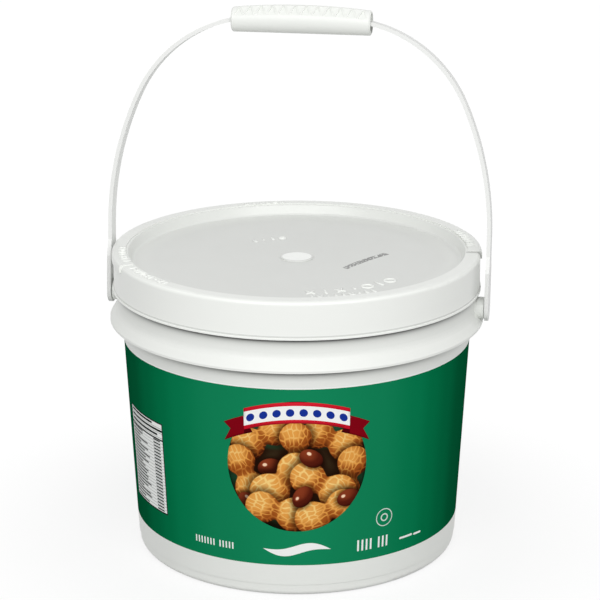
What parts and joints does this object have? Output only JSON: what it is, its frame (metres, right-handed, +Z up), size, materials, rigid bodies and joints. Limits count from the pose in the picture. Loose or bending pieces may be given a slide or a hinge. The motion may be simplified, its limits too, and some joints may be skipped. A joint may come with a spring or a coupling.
{
  "type": "peanut butter pail",
  "caption": "Round flared plastic food pail, shut by a pressed-on lid with a sunken panel, with a printed wall film and a swinging flat bail with a ribbed grip.",
  "frame": {"origin": "middle of the round base, on the surface that the pail stands on", "axes": "+Z up along the pail's axis; the bail's pivots lie on a line along X; the printed front faces 10 degrees from -Y towards +X, and the bail leans back 6 degrees at rest, its pivots 187 mm up"},
  "size_m": [0.2866, 0.2776, 0.4031],
  "materials": {
    "pail_plastic": "satin white",
    "printed_film": "green printed film",
    "lid_plastic": "satin white",
    "bail_plastic": "satin white",
    "grip_plastic": "satin white"
  },
  "bodies": {
    "container": {"pail": "pail_plastic", "label": "printed_film", "lid": "lid_plastic"},
    "handle": {"bail": "bail_plastic", "grip": "grip_plastic"}
  },
  "joints": [
    {"name": "bail_hinge", "type": "hinge", "parent": "container", "child": "handle", "pos_m": [0, 0, 0.187], "axis": [1, 0, 0], "range_deg": [-132, 144]}
  ]
}
